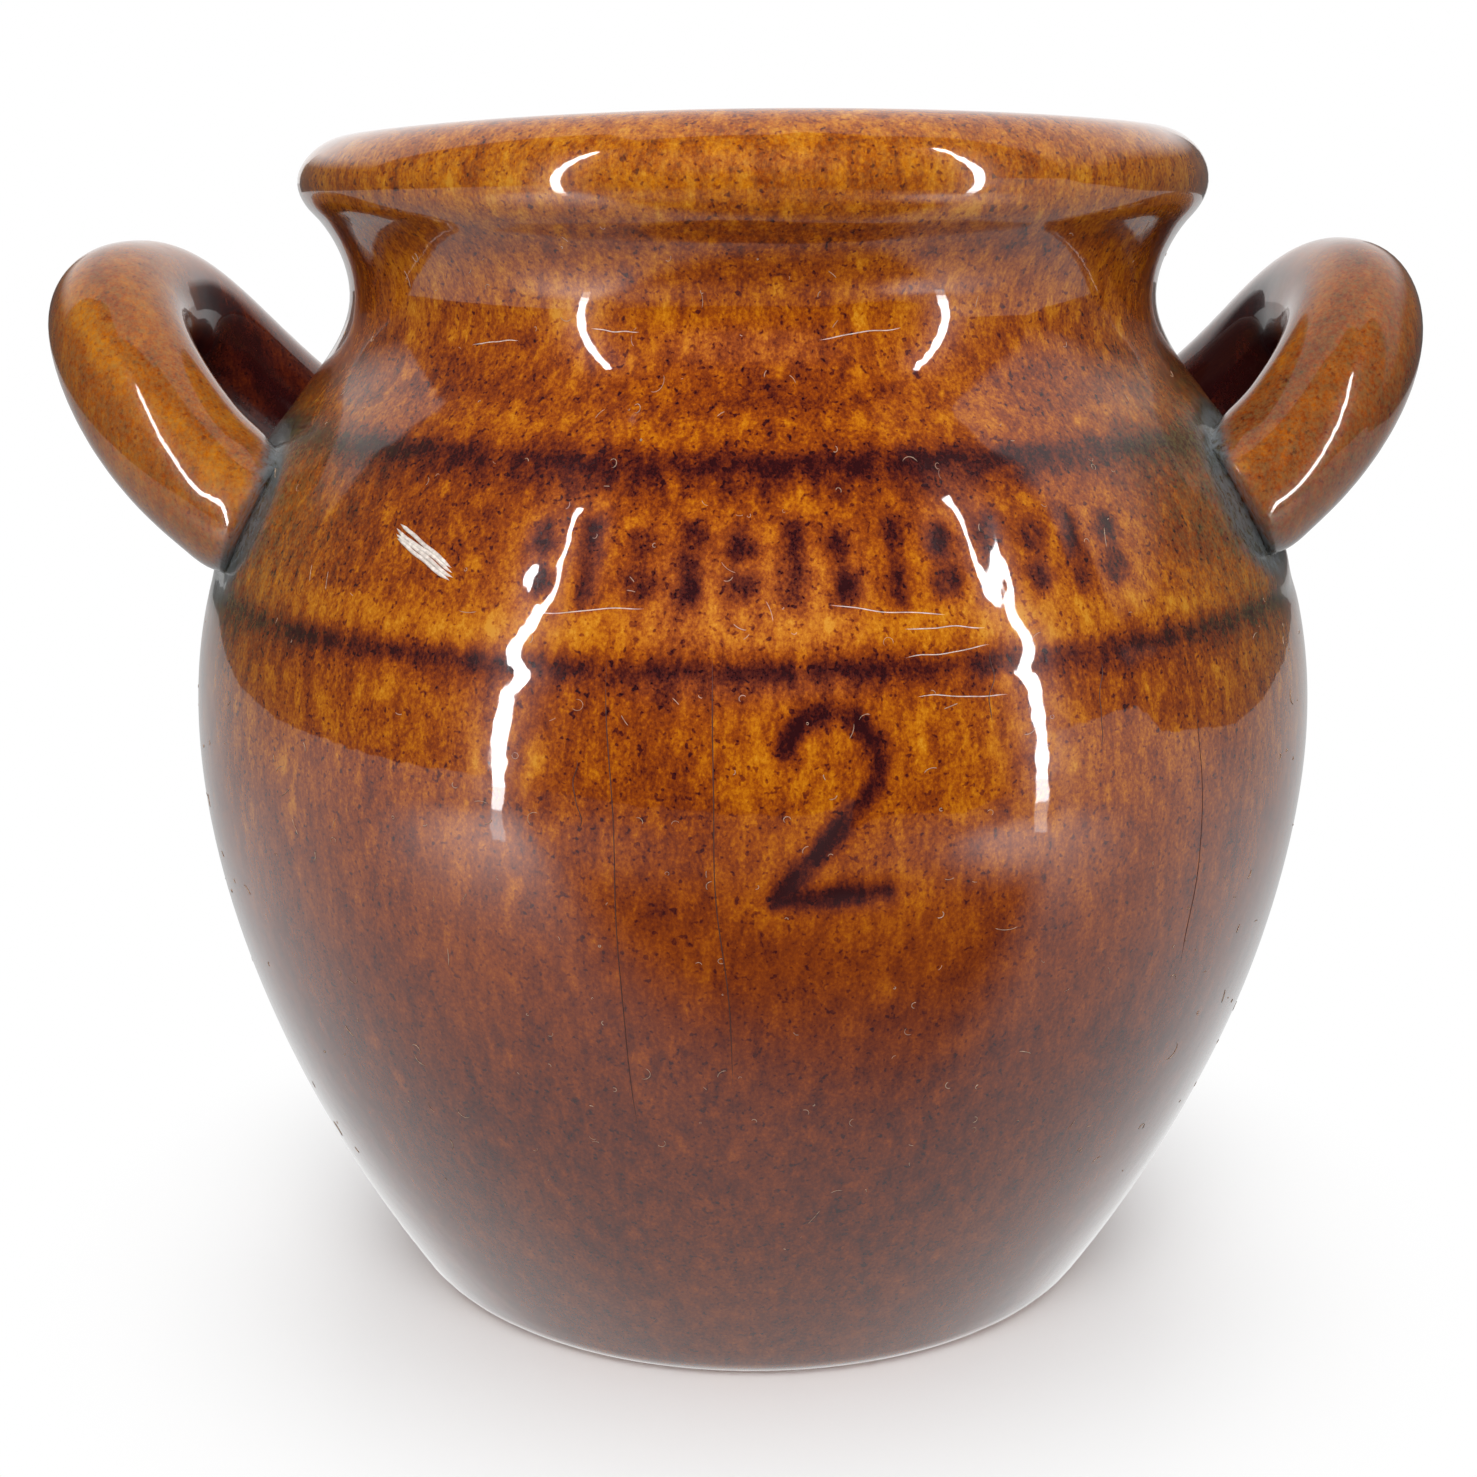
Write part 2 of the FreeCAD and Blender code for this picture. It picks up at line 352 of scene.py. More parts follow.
def closed_skin(name, rings, first_pole, last_pole, attributes):
    """Mesh of a closed skin from rings of points (ring, place round it, xyz) in mm.

    Neighbouring rings are joined by quads and the two ends are closed by fans to a pole point.
    Attributes are one value for each point of the rings, and each pole takes the value it is given.
    """
    ring_count, place_count = rings.shape[:2]
    points = np.concatenate([rings.reshape(-1, 3), first_pole[None], last_pole[None]]) * MM
    ring = np.arange(ring_count - 1)[:, None] * place_count
    place = np.arange(place_count)[None, :]
    after = (place + 1) % place_count
    quads = np.stack([ring + place, ring + after, ring + place_count + after, ring + place_count + place], -1)
    quads = quads.reshape(-1, 4)
    start = len(points) - 2
    low = np.stack([np.full(place_count, start), after[0], place[0]], 1)
    top = (ring_count - 1) * place_count
    high = np.stack([np.full(place_count, start + 1), top + place[0], top + after[0]], 1)
    corners = np.concatenate([quads.ravel(), low.ravel(), high.ravel()])
    sizes = np.concatenate([np.full(len(quads), 4), np.full(2 * place_count, 3)])
    mesh = bpy.data.meshes.new(name)
    mesh.vertices.add(len(points))
    mesh.vertices.foreach_set("co", points.ravel())
    mesh.loops.add(len(corners))
    mesh.loops.foreach_set("vertex_index", corners.astype(np.int32))
    mesh.polygons.add(len(sizes))
    mesh.polygons.foreach_set("loop_start", np.concatenate([[0], np.cumsum(sizes)[:-1]]).astype(np.int32))
    mesh.polygons.foreach_set("use_smooth", np.ones(len(sizes), bool))
    mesh.update(calc_edges=True)
    whole = {key: np.append(values, poles) for key, (values, poles) in attributes.items()}
    return placed(name, mesh, whole)


def make_jar_skin(handles):
    """The whole clay body as one closed skin: the section turned round the axis, with its relief.

    Relief moves points along the section's own normal. Round each handle the wall has a pinched
    crease and a low swelling of slip beyond it, by bells of the distance to the handle's skin, and
    dust lies there as a film. The rim sags over the handles by the squared sine of the azimuth, and
    leans a little by its sine.
    """
    section, is_wall = jar_section()
    body, way, outside = section[1:-1], outward(section)[1:-1, :, None], is_wall[1:-1, None] > 0
    turn = column_turns(JAR_COLUMNS)[None, :] + 0 * body[:, :1]
    height = body[:, 1:] + 0 * turn
    angle = np.radians(turn)
    relief, depth = throwing_relief(turn, height)
    relief = relief * outside
    radius = body[:, :1] + relief * way[:, 0]
    rings = np.stack([radius * np.sin(angle), -radius * np.cos(angle), height + relief * way[:, 1]], -1)

    points = rings.reshape(-1, 3)
    gap = np.minimum(gap_to_handle(points, *handles[0]), gap_to_handle(points, *handles[1]))
    gap = gap.reshape(turn.shape)
    clear = np.maximum(gap, 0)
    fillet = np.where(outside, 0.16 * bell(gap - 2.0, 1.2) - 0.10 * bell(clear, 0.8), 0)
    rings[..., 0] += fillet * way[:, 0] * np.sin(angle)
    rings[..., 1] -= fillet * way[:, 0] * np.cos(angle)
    rings[..., 2] += fillet * way[:, 1]

    lip = bell(height - (OVERALL_HEIGHT - 3.2), 4.6)
    crease = np.where(outside, bell(np.maximum(gap - 0.5, 0), 1.5), 0)
    haze = np.where(outside, np.minimum(1, bell(clear, 8.0) + 0.34 * lip), 0.30 * lip)
    depth = np.where(outside, depth, GLAZE_ELSEWHERE) - 0.10 * lip
    # Painted shade: a darker glaze tone just under the lip, close round each handle, and most in the pinched
    # crease at each handle's root, where real dust also lies.
    depth = depth + outside * (0.10 * bell(height - 81.8, 1.1) + 0.2 * bell(clear, 3.2)) + 0.62 * crease ** 2

    at_lip = np.clip((rings[..., 2] - RIM_SAG_FROM) / (OVERALL_HEIGHT - RIM_SAG_FROM), 0, 1)
    at_lip = at_lip * at_lip * (3 - 2 * at_lip)
    rings[..., 2] += at_lip * (RIM_TILT * np.sin(angle) - RIM_SAG * np.sin(angle) ** 2)
    mottle = 0.62 + 0.38 * np.clip((rings[..., 2] - 36) / 14, 0, 1)

    low, high = np.array([0.0, 0.0, section[0][1]]), np.array([0.0, 0.0, section[-1][1]])
    return closed_skin("jar_skin", rings, low, high,
                       {"glaze_depth_and_shade": (depth, [GLAZE_ELSEWHERE] * 2), "crease": (crease, [0.0, 0.0]),
                        "haze": (haze, [0.0, 0.0]), "mottle": (mottle, [0.6, 0.6])})


def make_handle_skin(name, line, radius, base_depth, seed):
    """One rolled loop handle: a round section carried along its middle line, pinched at the wall.

    The section is slightly uneven, as a roll of clay is, and swells just before the pinch. Its two
    ends are moved onto a level inside the wall, so they stay in the clay. The inner side of the rear
    leg is darkened as painted shade, with no dust film on it, and dust lies on the rest.
    """
    buried = np.hypot(line[:, 0], line[:, 1]) < wall_radius(line[:, 2]) - 2.0
    line, radius = line[~buried], radius[~buried]
    way = np.gradient(line, axis=0)
    way /= np.linalg.norm(way, axis=1)[:, None]
    from_axis = np.stack([line[:, 0], line[:, 1], 0 * line[:, 0]], 1)
    side = np.cross(way, np.array([0.0, 0.0, 1.0]) + 0.001 * from_axis)
    side /= np.linalg.norm(side, axis=1)[:, None]
    up = np.cross(side, way)
    turn = np.linspace(0, 2 * np.pi, HANDLE_COLUMNS, endpoint=False)
    chance = np.random.default_rng(seed)
    share = np.linspace(0, 1, len(line))[:, None]
    uneven = sum(np.sin(turn[None, :] * rounds + share * runs + chance.uniform(0, 6.28)) * 0.06
                 for rounds, runs in ((2, 5), (1, 9), (3, 7), (2, -12)))
    spoke = side[:, None] * np.cos(turn)[None, :, None] + up[:, None] * np.sin(turn)[None, :, None]
    rings = line[:, None] + spoke * (radius[:, None] + uneven)[..., None]

    clear = np.hypot(rings[..., 0], rings[..., 1]) - wall_radius(rings[..., 2])
    flare = 0.12 * bell(clear - 1.6, 1.4) - 0.12 * bell(clear, 0.6)
    rings = rings + spoke * flare[..., None]
    across = np.hypot(rings[..., 0], rings[..., 1])
    deepest = wall_radius(rings[..., 2]) - HANDLE_BURIED
    rings[..., :2] *= (np.maximum(across, deepest) / across)[..., None]

    # Painted shade: the crease where the handle meets the wall gets a darker glaze tone; real dust lies in it
    # too.
    crease = bell(np.maximum(clear - 0.1, 0), 1.0)
    # Painted shade: the inner side of the rear leg, which faces the front inside the loop, gets a darker
    # glaze tone and no dust film.
    to_middle = line.mean(axis=0) - line
    inward = (spoke * to_middle[:, None]).sum(2) / np.linalg.norm(to_middle, axis=1)[:, None]
    rear = np.clip((line[:, 1:2] - 1.0) / 5.0, 0, 1)
    painted_rear_shade = rear * np.clip(0.35 + inward, 0, 1)
    uneven_glaze = 0.10 * slow_waves(np.degrees(turn)[None, :], share * 60, (50, 33), seed)
    depth = base_depth + 0.65 * crease ** 2 + uneven_glaze + 0.55 * painted_rear_shade
    haze = 0.62 * (1 - np.clip(1.3 * painted_rear_shade, 0, 1))
    return closed_skin(name, rings, rings[0].mean(0), rings[-1].mean(0),
                       {"glaze_depth_and_shade": (depth, [depth[0, 0], depth[-1, 0]]), "crease": (crease, [1.0, 1.0]),
                        "haze": (haze, [0.0, 0.0]), "mottle": (0 * depth + 0.52, [0.52, 0.52])})


def skin_points(turn, height, lift):
    """Points on the outside of the jar at the given azimuths and heights, lifted off it along the normal."""
    section, is_wall = jar_section()
    normal = outward(section)
    run, way = section[is_wall > 0], normal[is_wall > 0]
    relief, _ = throwing_relief(turn, height)
    off = relief + lift
    radius = np.interp(height, run[:, 1], run[:, 0]) + off * np.interp(height, run[:, 1], way[:, 0])
    level = height + off * np.interp(height, run[:, 1], way[:, 1])
    angle = np.radians(turn)
    return np.stack([radius * np.sin(angle), -radius * np.cos(angle), level], -1)


def make_threads(name, lines, half_widths):
    """Many fine threads as one mesh: a four-sided section along each line, drawn to a point at both ends.

    Lines are (thread, point, xyz) in mm, with one half width for each thread.
    """
    thread_count, point_count = lines.shape[:2]
    way = np.gradient(lines, axis=1)
    way /= np.linalg.norm(way, axis=2, keepdims=True)
    out = lines * np.array([1.0, 1.0, 0.0])
    out /= np.linalg.norm(out, axis=2, keepdims=True)
    side = np.cross(way, out)
    side /= np.linalg.norm(side, axis=2, keepdims=True)
    up = np.cross(side, way)
    taper = np.minimum(1, 2.6 * np.sin(np.linspace(0, np.pi, point_count)[1:-1]))
    half = (half_widths[:, None] * taper)[..., None]
    across, above, body = side[:, 1:-1] * half, up[:, 1:-1] * half, lines[:, 1:-1]
    ring = np.stack([body + across, body + above, body - across, body - above], 2)
    rings = point_count - 2
    points = np.concatenate([ring.reshape(thread_count, -1, 3), lines[:, :1], lines[:, -1:]], 1)

    first = np.arange(thread_count)[:, None, None] * (rings * 4 + 2)
    step = (np.arange(rings - 1) * 4)[None, :, None]
    corner = np.arange(4)[None, None, :]
    after = (corner + 1) % 4
    quads = np.stack([first + step + corner, first + step + 4 + corner, first + step + 4 + after,
                      first + step + after], -1).reshape(-1, 4)
    first, corner, after = first[:, 0], corner[0], after[0]
    start, last = first + rings * 4, first + (rings - 1) * 4
    low = np.stack([start + 0 * corner, first + corner, first + after], -1).reshape(-1, 3)
    high = np.stack([start + 1 + 0 * corner, last + after, last + corner], -1).reshape(-1, 3)
    mesh = bpy.data.meshes.new(name)
    mesh.from_pydata((points.reshape(-1, 3) * MM).tolist(), [], quads.tolist() + low.tolist() + high.tolist())
    mesh.polygons.foreach_set("use_smooth", np.ones(len(mesh.polygons), bool))
    return placed(name, mesh, {})


def drawn_lines(ends, wander, seed, count=24):
    """Lines over the skin between (turn, height) ends, with a slow seeded wander in degrees and mm."""
    chance = np.random.default_rng(seed)
    share = np.linspace(0, 1, count)
    lines = []
    for (turn0, height0), (turn1, height1) in ends:
        waver = sum(np.sin(share * rounds * np.pi + chance.uniform(0, 6.28)) / rounds for rounds in (2, 3, 5))
        turn = turn0 + (turn1 - turn0) * share + wander[0] * waver
        height = height0 + (height1 - height0) * share + wander[1] * waver
        lines.append(skin_points(turn, height, 0.0))
    return np.array(lines)


def lint_lines(count, seed):
    """Short curled hairs of dust lying on the skin, each an arc whose heading turns evenly along it.

    Azimuths are a normal draw about the front, heights, headings and bends are drawn too, and lengths
    in mm are a gamma draw over a least length.
    """
    chance = np.random.default_rng(seed)
    turn = chance.normal(0, 75, count)
    height = chance.uniform(14, 84, count)
    heading = chance.uniform(0, 2 * np.pi, count)
    length = chance.gamma(2.2, 0.24, count) + 0.15
    bend = chance.normal(0, 1.6, count)
    share = np.linspace(-0.5, 0.5, 9)[None, :]
    way = heading[:, None] + bend[:, None] * share * 2
    step = length[:, None] / 8
    across = np.cumsum(np.cos(way) * step, 1)
    up = np.cumsum(np.sin(way) * step, 1)
    turns = turn[:, None] + np.degrees(across / 38.0)
    heights = np.clip(height[:, None] + up, 6, 85)
    return skin_points(turns, heights, 0.012)


# ------------------------------------------------------------------ materials
def shade(hex_colour):
    """Linear colour with alpha from an sRGB hex value."""
    srgb = np.array([int(hex_colour[place:place + 2], 16) / 255 for place in (1, 3, 5)])
    linear = np.where(srgb <= 0.04045, srgb / 12.92, ((srgb + 0.055) / 1.055) ** 2.4)
    return (*linear.tolist(), 1.0)


SOFT_STEP = {"interpolation_type": "SMOOTHSTEP"}


def put(tree, kind, inputs=(), out=0, **settings):
    """Adds one node with its settings, and gives back one of its outputs, or the node if it has none.

    Inputs are a list for the first inputs in order, or a dict by the name or place of the input. Each
    value is a plain one or another node's output.
    """
    added = tree.nodes.new("ShaderNode" + kind)
    for key, value in settings.items():
        setattr(added, key, value)
    for place, value in (inputs.items() if isinstance(inputs, dict) else enumerate(inputs)):
        socket = added.inputs[place]
        if isinstance(value, bpy.types.NodeSocket):
            tree.links.new(value, socket)
        else:
            socket.default_value = value
    return added.outputs[out] if len(added.outputs) else added


def blank_material(name):
    """New material and its emptied node tree."""
    material = bpy.data.materials.new(name)
    material.use_nodes = True
    material.node_tree.nodes.clear()
    return material, material.node_tree


def set_ramp(ramp, stops):
    """Gives a colour ramp its stops, as (place, hex colour) pairs."""
    ramp.interpolation = "B_SPLINE"
    while len(ramp.elements) < len(stops):
        ramp.elements.new(0.5)
    for element, (place, colour) in zip(ramp.elements, stops):
        element.position = place
        element.color = shade(colour)


def brown_glaze():
    """Stoneware under a brown slip glaze, dipped and fired once.

    The glaze is a clear amber glass full of iron: yellow-amber where it ran thin, red-brown on the
    flat, nearly black where it pooled. It ran down in streaks, carries fine iron specks, and its
    surface is a smooth hard gloss with a faint orange peel. A film of dust dulls it on and round the
    handles.
    """
    material, tree = blank_material("stoneware_brown_glaze")
    place = put(tree, "TexCoord", out="Object")
    # The glaze depth attribute also carries painted shade in creases, just under the lip and on the inner
    # rear leg of each handle, which so take its dark pooled colours.
    depth, crease, haze, mottle = [put(tree, "Attribute", attribute_name=name, out="Fac")
                                   for name in ("glaze_depth_and_shade", "crease", "haze", "mottle")]
    noise = {}
    for name, (width, tall, detail, rough, shift) in GLAZE_NOISE.items():
        at = put(tree, "Mapping", {"Vector": place, "Location": (shift, shift * 2, shift * 3),
                                   "Scale": (1 / (width * MM), 1 / (width * MM), 1 / (tall * MM))})
        noise[name] = put(tree, "TexNoise", {"Vector": at, "Scale": 1.0, "Detail": detail,
                                             "Roughness": rough}, out="Fac")

    change = 0.0
    for name, strength in (("streaks", 1.0), ("runs", 0.32), ("pools", 0.20), ("grains", 0.90)):
        centred = put(tree, "Math", [noise[name], 0.5], operation="SUBTRACT")
        change = put(tree, "Math", [centred, strength, change], operation="MULTIPLY_ADD")
    for name, operation, start, full, strength in (("freckles", "ADD", 0.60, 0.78, 0.22),
                                                   ("specks", "SUBTRACT", 0.62, 0.72, 0.32)):
        spots = put(tree, "MapRange", [noise[name], start, full, 0.0, strength], **SOFT_STEP)
        change = put(tree, "Math", [change, spots], operation=operation)
    change = put(tree, "Math", [change, mottle], operation="MULTIPLY")
    thinness = put(tree, "Math", [1.0, depth], operation="SUBTRACT")
    tone = put(tree, "Math", [thinness, change], operation="ADD")

    colour = put(tree, "ValToRGB", [tone])
    set_ramp(colour.node.color_ramp, GLAZE_COLOURS)
    for cover, name, start, full, strength, hue in ((haze, "film", 0.30, 0.72, 0.62, "#737445"),
                                                    (crease, "dust", 0.26, 0.62, 0.90, "#757b7f")):
        share = put(tree, "MapRange", [noise[name], start, full, 0.0, strength], **SOFT_STEP)
        share = put(tree, "Math", [cover, share], operation="MULTIPLY")
        colour = put(tree, "Mix", {0: share, 6: colour, 7: shade(hue)}, out=2, data_type="RGBA")

    skin = put(tree, "Bump", {"Strength": 0.35, "Distance": 0.05 * MM, "Height": noise["peel"]})
    pits = put(tree, "Bump", {"Strength": 0.25, "Distance": 0.03 * MM, "Height": noise["grains"],
                              "Normal": skin})
    gloss = put(tree, "Math", [haze, -0.42, 1.0], operation="MULTIPLY_ADD")
    surface = put(tree, "BsdfPrincipled", {"Base Color": colour, "Roughness": 0.22, "IOR": 1.45,
                                           "Specular IOR Level": 0.12, "Normal": pits, "Coat Weight": gloss,
                                           "Coat Roughness": 0.03, "Coat IOR": 1.45, "Coat Normal": skin})
    put(tree, "OutputMaterial", [surface])
    return material


def fine_matter(name, colour, roughness):
    """Matt matter of one hue that varies in strength over a third of a millimetre, as dust and stains do."""
    material, tree = blank_material(name)
    place = put(tree, "TexCoord", out="Object")
    mottle = put(tree, "TexNoise", {"Vector": place, "Scale": 1 / (0.35 * MM), "Detail": 2.0}, out="Fac")
    strength = put(tree, "MapRange", [mottle, 0.3, 0.7, 0.55, 1.0])
    tint = put(tree, "Mix", {0: strength, 6: shade("#5a2a12"), 7: shade(colour)}, out=2, data_type="RGBA")
    rough = put(tree, "Bump", {"Strength": 0.3, "Distance": 0.02 * MM, "Height": mottle})
    surface = put(tree, "BsdfPrincipled", {"Base Color": tint, "Roughness": roughness, "Normal": rough})
    put(tree, "OutputMaterial", [surface])
    return material


# ------------------------------------------------------------------ the jar
left_line = handle_line(**LEFT_HANDLE)
right_line = handle_line(**RIGHT_HANDLE)
jar_skin = make_jar_skin((left_line, right_line))
left_handle = make_handle_skin("handle_left", *left_line, LEFT_HANDLE_GLAZE, 21)
right_handle = make_handle_skin("handle_right", *right_line, RIGHT_HANDLE_GLAZE, 22)
glaze = brown_glaze()
for piece in (jar_skin, left_handle, right_handle):
    piece.data.materials.append(glaze)
    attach(piece, "root")
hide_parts("jar")

# Fine things on the glaze: crackle lines, scuffs with the scrape, and lint.
crackle_lines = drawn_lines(CRACKLE, (0.35, 0.0), 5, 60)
crackle = make_threads("crackle", crackle_lines, np.full(len(CRACKLE), CRACKLE_HALF_WIDTH))
scuff_widths = np.repeat([SCUFF_HALF_WIDTH, SCRAPE_HALF_WIDTH], [len(SCUFFS), len(SCRAPE)])
scuffs = make_threads("scuffs", drawn_lines(SCUFFS + SCRAPE, (0.0, 0.10), 6), scuff_widths)
lint_widths = np.random.default_rng(8).uniform(*LINT_HALF_WIDTHS, LINT_COUNT)
lint = make_threads("lint", lint_lines(LINT_COUNT, 7), lint_widths)
for piece, material in ((crackle, fine_matter("crackle_stain", "#3a130c", 0.5)),
                        (scuffs, fine_matter("scuffed_glaze", "#f0e6dd", 0.6)),
                        (lint, fine_matter("lint_dust", "#bfa48c", 0.9))):
    piece.data.materials.append(material)
    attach(piece, "root")


# ------------------------------------------------------------------ floor, studio walls and light, in metres
def staged(name, points, faces, attributes, material, gloss_only):
    """Studio mesh with one value per point for each attribute. With gloss_only, only reflections show it."""
    mesh = bpy.data.meshes.new(name)
    mesh.from_pydata(points, [], faces)
    mesh.materials.append(material)
    card = placed(name, mesh, attributes)
    card.visible_camera = card.visible_diffuse = card.visible_shadow = not gloss_only


def hung_cloth(posts, shelf):
    """Points, faces and attributes of cloth hung over posts at (x, y, foot, top, cover at the top, grey).

    It has one row of faces from the feet to the shelf, where it is whole, and one from there to the tops.
    """
    posts = np.array(posts)
    count = len(posts)
    points = np.concatenate([np.stack([posts[:, 0], posts[:, 1], height], 1)
                             for height in (posts[:, 2], np.full(count, shelf), posts[:, 3])])
    fold = np.arange(count - 1)
    low = np.stack([fold, fold + 1, fold + 1 + count, fold + count], 1)
    attributes = {"cover": np.concatenate([np.ones(2 * count), posts[:, 4]]), "grey": np.tile(posts[:, 5], 3)}
    return points.tolist(), np.concatenate([low, low + count]).tolist(), attributes


def curtain_cloth():
    """Dark cloth that shows in reflections at its own grey and thins out to nothing toward its soft edges."""
    material, tree = blank_material("curtain_cloth")
    cover, grey = [put(tree, "Attribute", attribute_name=name, out="Fac") for name in ("cover", "grey")]
    cloth = put(tree, "Emission", [(1.0, 1.0, 1.0, 1.0), grey])
    put(tree, "OutputMaterial", [put(tree, "MixShader", [cover, put(tree, "BsdfTransparent"), cloth])])
    return material


def shade_on_table():
    """The shade that lies on the table before the jar, as the gloss sees it.

    It is darkest straight in front about a hand's breadth off, and ends to the left and right along two
    straight lines that start at the jar. The foot of the right strip lamp lights a hole in it. Each
    edge is a soft step of a distance, and the shade is the product of all of them.
    """
    material, tree = blank_material("front_shade_tone")
    place = put(tree, "TexCoord", out="Object")
    reach = put(tree, "VectorMath", [place], out="Value", operation="LENGTH")
    past_right, past_left = [put(tree, "VectorMath", [place, way], out="Value", operation="DOT_PRODUCT")
                             for way in ((0.617, -0.787, 0.0), (-0.474, -0.880, 0.0))]
    from_lamp = put(tree, "VectorMath", [place, (0.135, -0.120, 0.0)], out="Value", operation="DISTANCE")
    edges = ((past_right, 0.034, 0.064, 0.0, 1.0), (past_left, 0.020, 0.040, 0.0, 1.0),
             (reach, 0.025, 0.095, 0.0, 0.95), (reach, 0.170, 0.115, 0.82, 1.0),
             (from_lamp, 0.018, 0.062, 0.0, 1.0))
    share = 1.0
    for distance, start, end, low, high in edges:
        edge = put(tree, "MapRange", [distance, start, end, low, high], **SOFT_STEP)
        share = put(tree, "Math", [share, edge], operation="MULTIPLY")
    dark = put(tree, "Emission", [(1.0, 1.0, 1.0, 1.0), 0.02])
    put(tree, "OutputMaterial", [put(tree, "MixShader", [share, put(tree, "BsdfTransparent"), dark])])
    return material


def white_table():
    """White table top: matt paint near the jar, running out into plain white further off.

    The gloss sees it white all over, with painted shade behind the jar and a painted glow of light round the
    foot of each strip lamp.
    """
    material, tree = blank_material("white_table_paint")
    place = put(tree, "TexCoord", out="Object")
    ray = put(tree, "LightPath").node.outputs
    seen = put(tree, "Math", [ray["Is Camera Ray"], ray["Is Transmission Ray"]], operation="MAXIMUM")
    reach = put(tree, "VectorMath", [place], out="Value", operation="LENGTH")
    clear_of_jar = put(tree, "MapRange", [reach, 0.020, 0.060, 0.0, 1.0], **SOFT_STEP)
    share = put(tree, "Math", [seen, clear_of_jar], operation="MULTIPLY")
    share = put(tree, "Math", [share, ray["Is Glossy Ray"]], operation="MAXIMUM")
    seen = put(tree, "Math", [seen, ray["Is Glossy Ray"]], operation="MAXIMUM")
    tint = put(tree, "Mix", {0: seen, 6: shade("#666460"), 7: shade("#fafafa")}, out=2, data_type="RGBA")
    paint = put(tree, "BsdfDiffuse", [tint])

    # Painted light for the gloss: a glow of lamp light on the table round each strip lamp's foot.
    glow = 0.0
    for foot, spread, strength in (((-0.130, -0.159, 0.0), 0.122, 3.2), ((0.132, -0.148, 0.0), 0.112, 2.5)):
        from_foot = put(tree, "VectorMath", [place, foot], out="Value", operation="DISTANCE")
        lit = put(tree, "MapRange", [from_foot, spread, 0.0, 0.0, strength], **SOFT_STEP)
        glow = put(tree, "Math", [glow, lit], operation="ADD")
    # Painted shade for the gloss: the table is dimmed behind the jar.
    depth_in = put(tree, "SeparateXYZ", [place], out=1)
    painted_shade_behind_jar = put(tree, "MapRange", [depth_in, -0.03, 0.10, 0.0, 0.38], **SOFT_STEP)
    glow = put(tree, "Math", [glow, painted_shade_behind_jar], operation="SUBTRACT")
    glow = put(tree, "Math", [glow, ray["Is Glossy Ray"]], operation="MULTIPLY")
    white = put(tree, "Emission", [shade("#ffffff"), put(tree, "Math", [1.0, glow], operation="ADD")])
    put(tree, "OutputMaterial", [put(tree, "MixShader", [share, paint, white])])
    return material


# The dark studio curtain hangs round the front and sides, open behind and above. Curtain and shade only
# darken what the gloss reflects, as black cards round a glazed pot do, and throw no shadow.
TABLE_HALF = 6
CURTAIN_SHELF = 0.23
CURTAIN_POSTS = [(-0.48, 1.10, 0, 0.34, 0, 0.09), (-0.48, 0.17, 0, 0.34, 0, 0.09),
                 (-0.48, 0.02, 0, 1.3, 1, 0.09), (-0.48, -0.36, 0, 1.3, 1, 0.09),
                 (-0.47, -0.37, 0, 1.3, 1, 0.012), (-0.10, -0.32, 0, 1.3, 1, 0.012),
                 (0.08, -0.32, 0, 1.3, 1, 0.012), (0.16, -0.22, 0, 1.3, 1, 0.012),
                 (0.30, -0.26, 0, 1.5, 1, 0.012), (0.31, -0.265, 0, 1.6, 1, 0.09),
                 (1.00, -0.62, 0, 2.6, 1, 0.09), (1.00, -0.60, 0.09, 2.6, 1, 0.09),
                 (1.00, -0.20, 0.09, 1.7, 1, 0.12), (0.80, -0.08, 0, 0.60, 0, 0.12),
                 (0.40, 0.12, 0, 0.34, 0, 0.12), (0.36, 1.10, 0, 0.34, 0, 0.12)]
SHADE_HALF, SHADE_BACK, SHADE_LIFT = 0.42, 0.1, 0.0004
ONE_CARD = [(0, 1, 2, 3)]
table_corners = [(x * TABLE_HALF, y * TABLE_HALF, 0) for x, y in ((-1, -1), (1, -1), (1, 1), (-1, 1))]
staged("table_top", table_corners, ONE_CARD, {}, white_table(), False)
staged("curtain", *hung_cloth(CURTAIN_POSTS, CURTAIN_SHELF), curtain_cloth(), True)
shade_corners = [(-SHADE_HALF, -SHADE_HALF, SHADE_LIFT), (SHADE_HALF, -SHADE_HALF, SHADE_LIFT),
                 (SHADE_HALF, SHADE_BACK, SHADE_LIFT), (-SHADE_HALF, SHADE_BACK, SHADE_LIFT)]
staged("front_shade", shade_corners, ONE_CARD, {}, shade_on_table(), True)


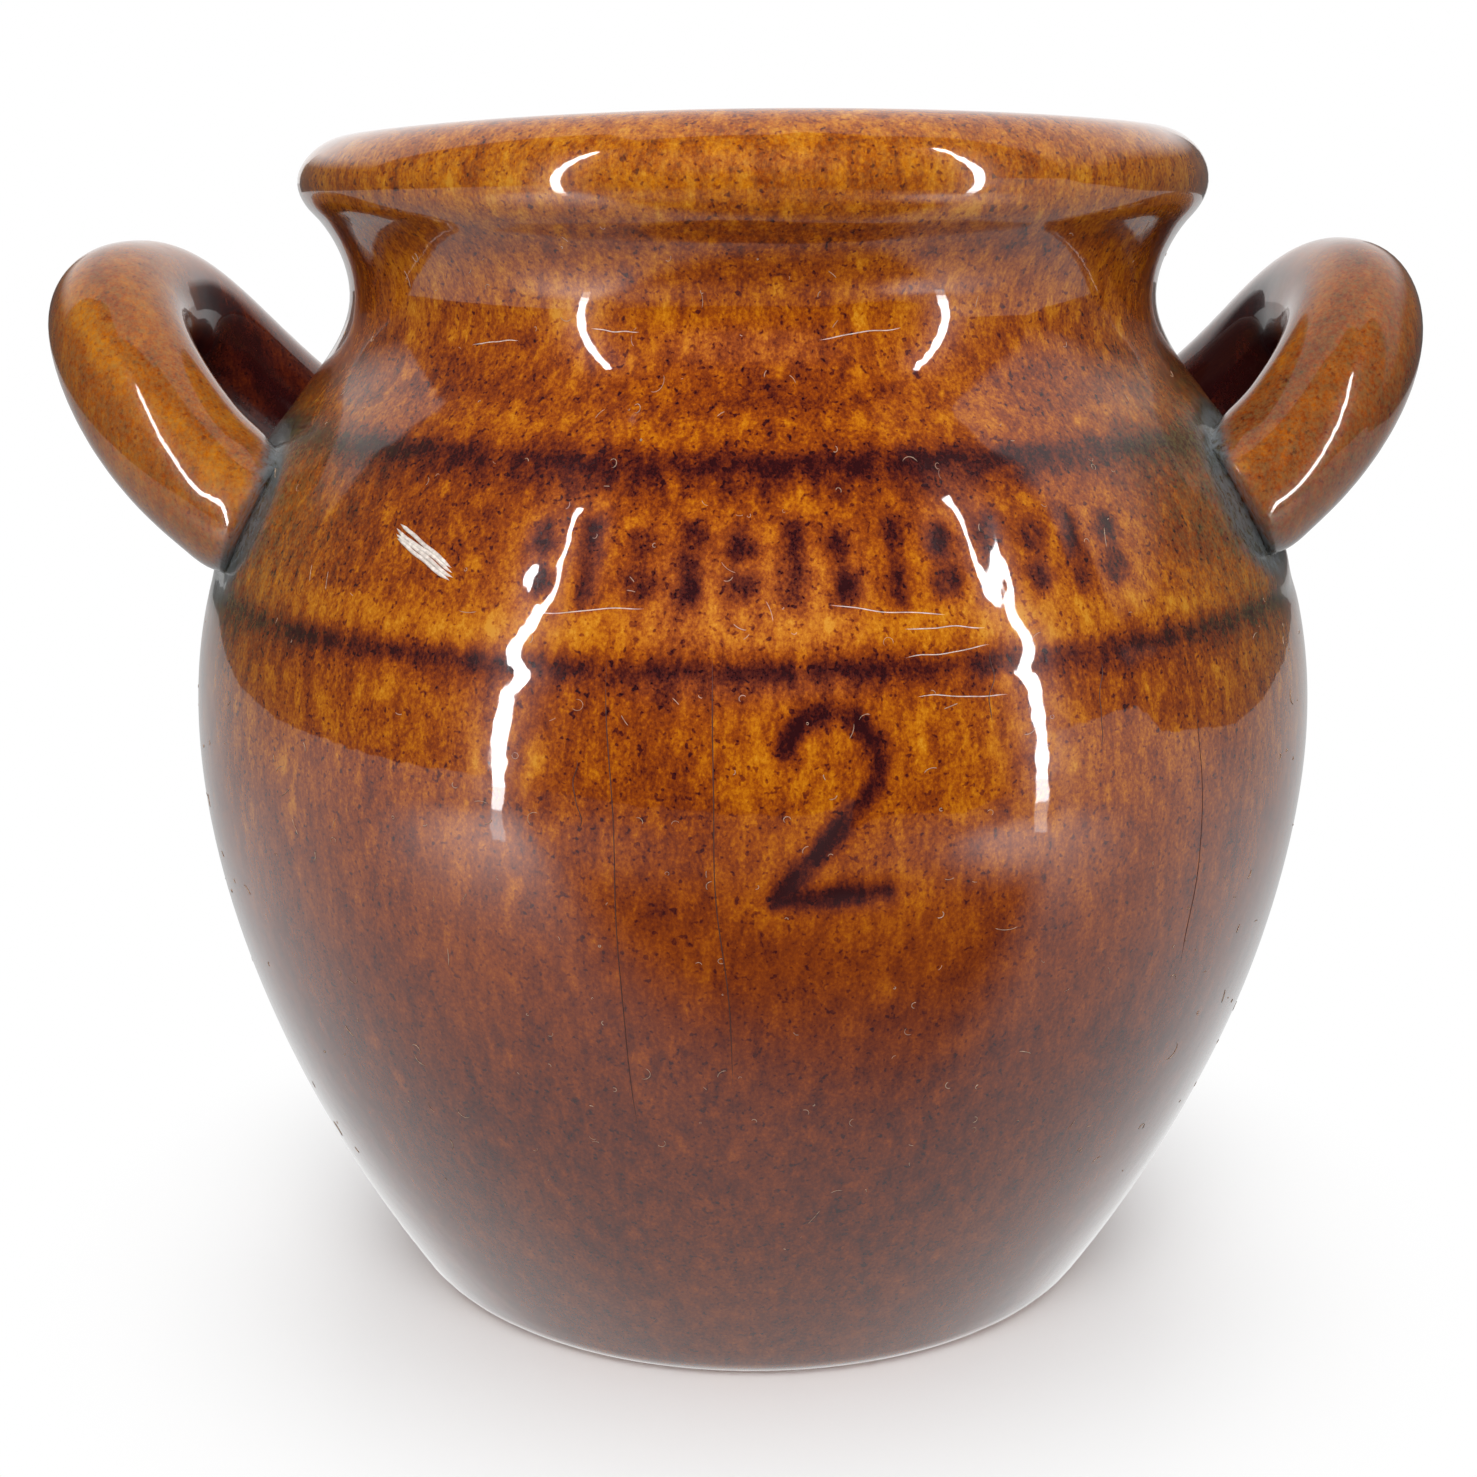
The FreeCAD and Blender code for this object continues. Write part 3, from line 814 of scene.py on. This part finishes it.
def soft_lamp(name, place, aim, size, radiance, gloss):
    """Rectangular lamp at a place in metres, aimed at a point, of a given size and brightness.

    With gloss it shows only as a highlight, without it only as soft light.
    """
    light = bpy.data.lights.new(name, "AREA")
    light.shape = "RECTANGLE"
    light.size, light.size_y = size
    light.energy = radiance * math.pi * size[0] * size[1]
    lamp = bpy.data.objects.new(name, light)
    way = np.array(aim, float) - np.array(place, float)
    way /= np.linalg.norm(way)
    lamp.location = place
    lamp.rotation_euler = (math.acos(-way[2]), 0, math.atan2(-way[0], way[1]))
    lamp.visible_camera = False
    lamp.visible_glossy = gloss
    lamp.visible_diffuse = not gloss
    bpy.context.scene.collection.objects.link(lamp)


# Two upright strip lamps light the gloss, dimmer toward the table. Parts are (name, from, to, radiance).
STRIP_AWAY, STRIP_WIDE = 0.20, 0.0085
STRIP_TURNS = {"left": -43.5, "right": 50.5}
STRIP_PARTS = (("tall", 0.030, 0.262, 40), ("low", 0.016, 0.030, 22), ("foot", 0.0005, 0.016, 4.5))
for side, turn in STRIP_TURNS.items():
    angle = math.radians(turn)
    for part, low, high, radiance in STRIP_PARTS:
        middle = (low + high) / 2
        place = (STRIP_AWAY * math.sin(angle), -STRIP_AWAY * math.cos(angle), middle)
        size = (STRIP_WIDE, high - low)
        soft_lamp("strip_%s_%s" % (side, part), place, (0, 0, middle), size, radiance, True)
JAR_MIDDLE = (0, 0, 0.05)
soft_lamp("key", (-0.01, -0.42, 0.30), JAR_MIDDLE, (0.35, 0.25), 8.4, False)
soft_lamp("fill_back", (0.0, 0.9, 1.0), JAR_MIDDLE, (0.9, 0.7), 3.0, False)

# The studio is white to the eye and in reflections, and throws weaker light on matt things.
world = bpy.data.worlds.new("studio")
bpy.context.scene.world = world
world.use_nodes = True
sky = world.node_tree
sky.nodes.clear()
ray = put(sky, "LightPath").node.outputs
seen = ray["Is Camera Ray"]
for kind in ("Is Glossy Ray", "Is Transmission Ray"):
    seen = put(sky, "Math", [seen, ray[kind]], operation="MAXIMUM")
level = put(sky, "Mix", {0: seen, 2: 0.35, 3: 1.0}, data_type="FLOAT")
put(sky, "OutputWorld", [put(sky, "Background", [(1, 1, 1, 1), level])])

# ------------------------------------------------------------------ camera
camera_data = bpy.data.cameras.new("camera")
camera_data.sensor_width = 36.0
camera_data.lens = 58.5
camera_data.shift_x = -0.0098
camera_data.clip_start = 0.01
camera = bpy.data.objects.new("camera", camera_data)
camera.location = (0, -0.1863, 0.0876)
camera.rotation_euler = (math.radians(90 - 13.84), 0, 0)
bpy.context.scene.collection.objects.link(camera)
bpy.context.scene.camera = camera
bpy.context.scene.view_settings.view_transform = "Standard"
